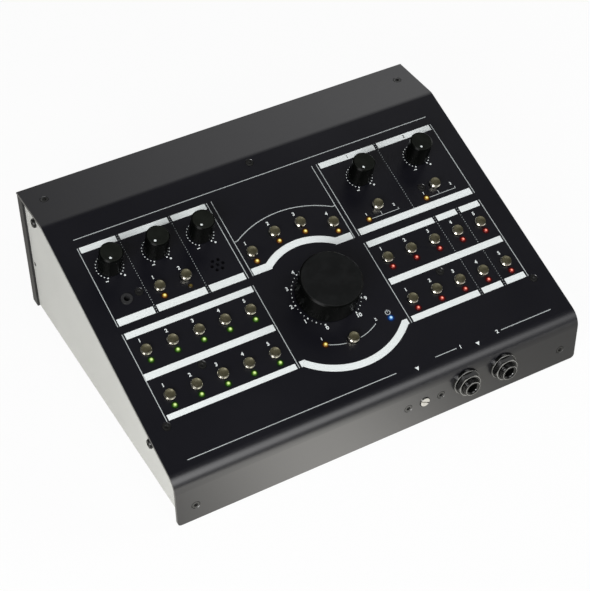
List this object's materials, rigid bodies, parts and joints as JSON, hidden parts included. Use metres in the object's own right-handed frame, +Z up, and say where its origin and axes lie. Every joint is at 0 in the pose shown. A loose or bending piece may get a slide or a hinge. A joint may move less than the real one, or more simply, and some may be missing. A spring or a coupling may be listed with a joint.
{
  "type": "studio monitor controller",
  "caption": "Wedge-shaped desktop audio console with a folded black cover, a large volume knob, small knobs, metal push buttons, lit indicators, lip jacks and rear sockets.",
  "frame": {"origin": "centre of the whole outline on the table plane, under the soles of the feet", "axes": "+Z up, +X to the user's right, +Y away from the user towards the rear wall"},
  "size_m": [0.276, 0.221, 0.1017],
  "materials": {
    "cover_black": "satin powder coat",
    "cheek_grey": "satin paint",
    "wall_black": "satin powder coat",
    "foot_rubber": "matte",
    "screw_black": "blackened steel",
    "standoff_brass": "turned",
    "switch_plastic": "moulded",
    "led_green": "lit lens",
    "led_red": "lit lens",
    "led_amber": "lit lens",
    "led_blue": "lit lens",
    "pot_metal": "plated",
    "board_green": "solder mask",
    "transformer_wrap": "polyester tape",
    "capsule_metal": "drawn can",
    "jack_black": "moulded",
    "nut_black": "moulded",
    "socket_metal": "nickel plated die casting",
    "inlet_black": "moulded",
    "button_metal": "satin plated, dished top",
    "knob_black": "fine matte",
    "master_black": "satin anodised look",
    "trimmer_metal": "turned and plated",
    "rocker_black": "moulded"
  },
  "bodies": {
    "console": {"top_cover": "cover_black", "tray": "cheek_grey", "rear_wall": "wall_black", "feet": "foot_rubber", "flush_screws": "screw_black", "pan_screws": "screw_black", "standoffs": "standoff_brass", "switches": "switch_plastic", "green_leds": "led_green", "red_leds": "led_red", "amber_leds": "led_amber", "power_led": "led_blue", "potentiometers": "pot_metal", "control_board": "board_green", "main_board": "board_green", "transformer": "transformer_wrap", "talkback_microphone": "capsule_metal", "aux_jack": "jack_black", "jack_sockets": "jack_black", "jack_nuts": "nut_black", "input_sockets": "socket_metal", "output_sockets": "socket_metal", "power_inlet": "inlet_black"},
    "cue_source_button_1": {"cue_source_button_1": "button_metal"},
    "main_source_button_1": {"main_source_button_1": "button_metal"},
    "cue_source_button_2": {"cue_source_button_2": "button_metal"},
    "main_source_button_2": {"main_source_button_2": "button_metal"},
    "cue_source_button_3": {"cue_source_button_3": "button_metal"},
    "main_source_button_3": {"main_source_button_3": "button_metal"},
    "cue_source_button_4": {"cue_source_button_4": "button_metal"},
    "main_source_button_4": {"main_source_button_4": "button_metal"},
    "cue_source_button_5": {"cue_source_button_5": "button_metal"},
    "main_source_button_5": {"main_source_button_5": "button_metal"},
    "mix_upper_button_1": {"mix_upper_button_1": "button_metal"},
    "mix_lower_button_1": {"mix_lower_button_1": "button_metal"},
    "mix_upper_button_2": {"mix_upper_button_2": "button_metal"},
    "mix_lower_button_2": {"mix_lower_button_2": "button_metal"},
    "mix_upper_button_3": {"mix_upper_button_3": "button_metal"},
    "mix_lower_button_3": {"mix_lower_button_3": "button_metal"},
    "mix_upper_button_4": {"mix_upper_button_4": "button_metal"},
    "mix_lower_button_4": {"mix_lower_button_4": "button_metal"},
    "mix_upper_button_5": {"mix_upper_button_5": "button_metal"},
    "mix_lower_button_5": {"mix_lower_button_5": "button_metal"},
    "talkback_mic_button": {"talkback_mic_button": "button_metal"},
    "talkback_active_button": {"talkback_active_button": "button_metal"},
    "speaker_button_1": {"speaker_button_1": "button_metal"},
    "speaker_button_2": {"speaker_button_2": "button_metal"},
    "speaker_button_3": {"speaker_button_3": "button_metal"},
    "speaker_button_4": {"speaker_button_4": "button_metal"},
    "phones_source_button_1": {"phones_source_button_1": "button_metal"},
    "phones_source_button_2": {"phones_source_button_2": "button_metal"},
    "level_button": {"level_button": "button_metal"},
    "aux_knob": {"aux_knob": "knob_black"},
    "talkback_knob": {"talkback_knob": "knob_black"},
    "cue_knob": {"cue_knob": "knob_black"},
    "phones_1_knob": {"phones_1_knob": "knob_black"},
    "phones_2_knob": {"phones_2_knob": "knob_black"},
    "master_knob": {"master_knob": "master_black"},
    "preset_trimmer": {"preset_trimmer": "trimmer_metal"},
    "power_rocker": {"power_rocker": "rocker_black"}
  },
  "joints": [
    {"name": "cue_source_1_press", "type": "slide", "parent": "console", "child": "cue_source_button_1", "axis": [0, 0.3486, -0.9373], "range_m": [-0.0018, 0.0006], "stiffness_N_per_m": 900},
    {"name": "main_source_1_press", "type": "slide", "parent": "console", "child": "main_source_button_1", "axis": [0, 0.3486, -0.9373], "range_m": [-0.0018, 0.0006], "stiffness_N_per_m": 900},
    {"name": "cue_source_2_press", "type": "slide", "parent": "console", "child": "cue_source_button_2", "axis": [0, 0.3486, -0.9373], "range_m": [-0.0018, 0.0006], "stiffness_N_per_m": 900},
    {"name": "main_source_2_press", "type": "slide", "parent": "console", "child": "main_source_button_2", "axis": [0, 0.3486, -0.9373], "range_m": [-0.0018, 0.0006], "stiffness_N_per_m": 900},
    {"name": "cue_source_3_press", "type": "slide", "parent": "console", "child": "cue_source_button_3", "axis": [0, 0.3486, -0.9373], "range_m": [-0.0018, 0.0006], "stiffness_N_per_m": 900},
    {"name": "main_source_3_press", "type": "slide", "parent": "console", "child": "main_source_button_3", "axis": [0, 0.3486, -0.9373], "range_m": [-0.0018, 0.0006], "stiffness_N_per_m": 900},
    {"name": "cue_source_4_press", "type": "slide", "parent": "console", "child": "cue_source_button_4", "axis": [0, 0.3486, -0.9373], "range_m": [-0.0018, 0.0006], "stiffness_N_per_m": 900},
    {"name": "main_source_4_press", "type": "slide", "parent": "console", "child": "main_source_button_4", "axis": [0, 0.3486, -0.9373], "range_m": [-0.0018, 0.0006], "stiffness_N_per_m": 900},
    {"name": "cue_source_5_press", "type": "slide", "parent": "console", "child": "cue_source_button_5", "axis": [0, 0.3486, -0.9373], "range_m": [-0.0018, 0.0006], "stiffness_N_per_m": 900},
    {"name": "main_source_5_press", "type": "slide", "parent": "console", "child": "main_source_button_5", "axis": [0, 0.3486, -0.9373], "range_m": [-0.0018, 0.0006], "stiffness_N_per_m": 900},
    {"name": "mix_upper_1_press", "type": "slide", "parent": "console", "child": "mix_upper_button_1", "axis": [0, 0.3486, -0.9373], "range_m": [-0.0018, 0.0006], "stiffness_N_per_m": 900},
    {"name": "mix_lower_1_press", "type": "slide", "parent": "console", "child": "mix_lower_button_1", "axis": [0, 0.3486, -0.9373], "range_m": [-0.0018, 0.0006], "stiffness_N_per_m": 900},
    {"name": "mix_upper_2_press", "type": "slide", "parent": "console", "child": "mix_upper_button_2", "axis": [0, 0.3486, -0.9373], "range_m": [-0.0018, 0.0006], "stiffness_N_per_m": 900},
    {"name": "mix_lower_2_press", "type": "slide", "parent": "console", "child": "mix_lower_button_2", "axis": [0, 0.3486, -0.9373], "range_m": [-0.0018, 0.0006], "stiffness_N_per_m": 900},
    {"name": "mix_upper_3_press", "type": "slide", "parent": "console", "child": "mix_upper_button_3", "axis": [0, 0.3486, -0.9373], "range_m": [-0.0018, 0.0006], "stiffness_N_per_m": 900},
    {"name": "mix_lower_3_press", "type": "slide", "parent": "console", "child": "mix_lower_button_3", "axis": [0, 0.3486, -0.9373], "range_m": [-0.0018, 0.0006], "stiffness_N_per_m": 900},
    {"name": "mix_upper_4_press", "type": "slide", "parent": "console", "child": "mix_upper_button_4", "axis": [0, 0.3486, -0.9373], "range_m": [-0.0018, 0.0006], "stiffness_N_per_m": 900},
    {"name": "mix_lower_4_press", "type": "slide", "parent": "console", "child": "mix_lower_button_4", "axis": [0, 0.3486, -0.9373], "range_m": [-0.0018, 0.0006], "stiffness_N_per_m": 900},
    {"name": "mix_upper_5_press", "type": "slide", "parent": "console", "child": "mix_upper_button_5", "axis": [0, 0.3486, -0.9373], "range_m": [-0.0018, 0.0006], "stiffness_N_per_m": 900},
    {"name": "mix_lower_5_press", "type": "slide", "parent": "console", "child": "mix_lower_button_5", "axis": [0, 0.3486, -0.9373], "range_m": [-0.0018, 0.0006], "stiffness_N_per_m": 900},
    {"name": "talkback_mic_press", "type": "slide", "parent": "console", "child": "talkback_mic_button", "axis": [0, 0.3486, -0.9373], "range_m": [-0.0018, 0.0006], "stiffness_N_per_m": 900},
    {"name": "talkback_active_press", "type": "slide", "parent": "console", "child": "talkback_active_button", "axis": [0, 0.3486, -0.9373], "range_m": [0, 0.0024], "stiffness_N_per_m": 900},
    {"name": "speaker_1_press", "type": "slide", "parent": "console", "child": "speaker_button_1", "axis": [0, 0.3486, -0.9373], "range_m": [-0.0018, 0.0006], "stiffness_N_per_m": 900},
    {"name": "speaker_2_press", "type": "slide", "parent": "console", "child": "speaker_button_2", "axis": [0, 0.3486, -0.9373], "range_m": [-0.0018, 0.0006], "stiffness_N_per_m": 900},
    {"name": "speaker_3_press", "type": "slide", "parent": "console", "child": "speaker_button_3", "axis": [0, 0.3486, -0.9373], "range_m": [-0.0018, 0.0006], "stiffness_N_per_m": 900},
    {"name": "speaker_4_press", "type": "slide", "parent": "console", "child": "speaker_button_4", "axis": [0, 0.3486, -0.9373], "range_m": [-0.0018, 0.0006], "stiffness_N_per_m": 900},
    {"name": "phones_source_1_press", "type": "slide", "parent": "console", "child": "phones_source_button_1", "axis": [0, 0.3486, -0.9373], "range_m": [0, 0.0024], "stiffness_N_per_m": 900},
    {"name": "phones_source_2_press", "type": "slide", "parent": "console", "child": "phones_source_button_2", "axis": [0, 0.3486, -0.9373], "range_m": [0, 0.0024], "stiffness_N_per_m": 900},
    {"name": "level_press", "type": "slide", "parent": "console", "child": "level_button", "axis": [0, 0.3486, -0.9373], "range_m": [0, 0.0024], "stiffness_N_per_m": 900},
    {"name": "aux_turn", "type": "hinge", "parent": "console", "child": "aux_knob", "pos_m": [-0.1114, 0.03107, 0.08379], "axis": [0, 0.3486, -0.9373], "range_deg": [0, 300]},
    {"name": "talkback_turn", "type": "hinge", "parent": "console", "child": "talkback_knob", "pos_m": [-0.0814, 0.03107, 0.08379], "axis": [0, 0.3486, -0.9373], "range_deg": [-18, 282]},
    {"name": "cue_turn", "type": "hinge", "parent": "console", "child": "cue_knob", "pos_m": [-0.0516, 0.03107, 0.08379], "axis": [0, 0.3486, -0.9373], "range_deg": [-10, 290]},
    {"name": "phones_1_turn", "type": "hinge", "parent": "console", "child": "phones_1_knob", "pos_m": [0.06, 0.03107, 0.08379], "axis": [0, 0.3486, -0.9373], "range_deg": [-6, 294]},
    {"name": "phones_2_turn", "type": "hinge", "parent": "console", "child": "phones_2_knob", "pos_m": [0.102, 0.03107, 0.08379], "axis": [0, 0.3486, -0.9373], "range_deg": [-3, 297]},
    {"name": "master_turn", "type": "hinge", "parent": "console", "child": "master_knob", "pos_m": [0, -0.03135, 0.06057], "axis": [0, 0.3486, -0.9373], "range_deg": [-180, 120]},
    {"name": "preset_turn", "type": "hinge", "parent": "console", "child": "preset_trimmer", "pos_m": [0.0266, -0.102, 0.0174], "axis": [0, 1, 0], "range_deg": [-135, 135]},
    {"name": "power_rocker_tilt", "type": "hinge", "parent": "console", "child": "power_rocker", "pos_m": [0.1145, 0.104, 0.067], "axis": [1, 0, 0], "range_deg": [-16, 0]}
  ]
}
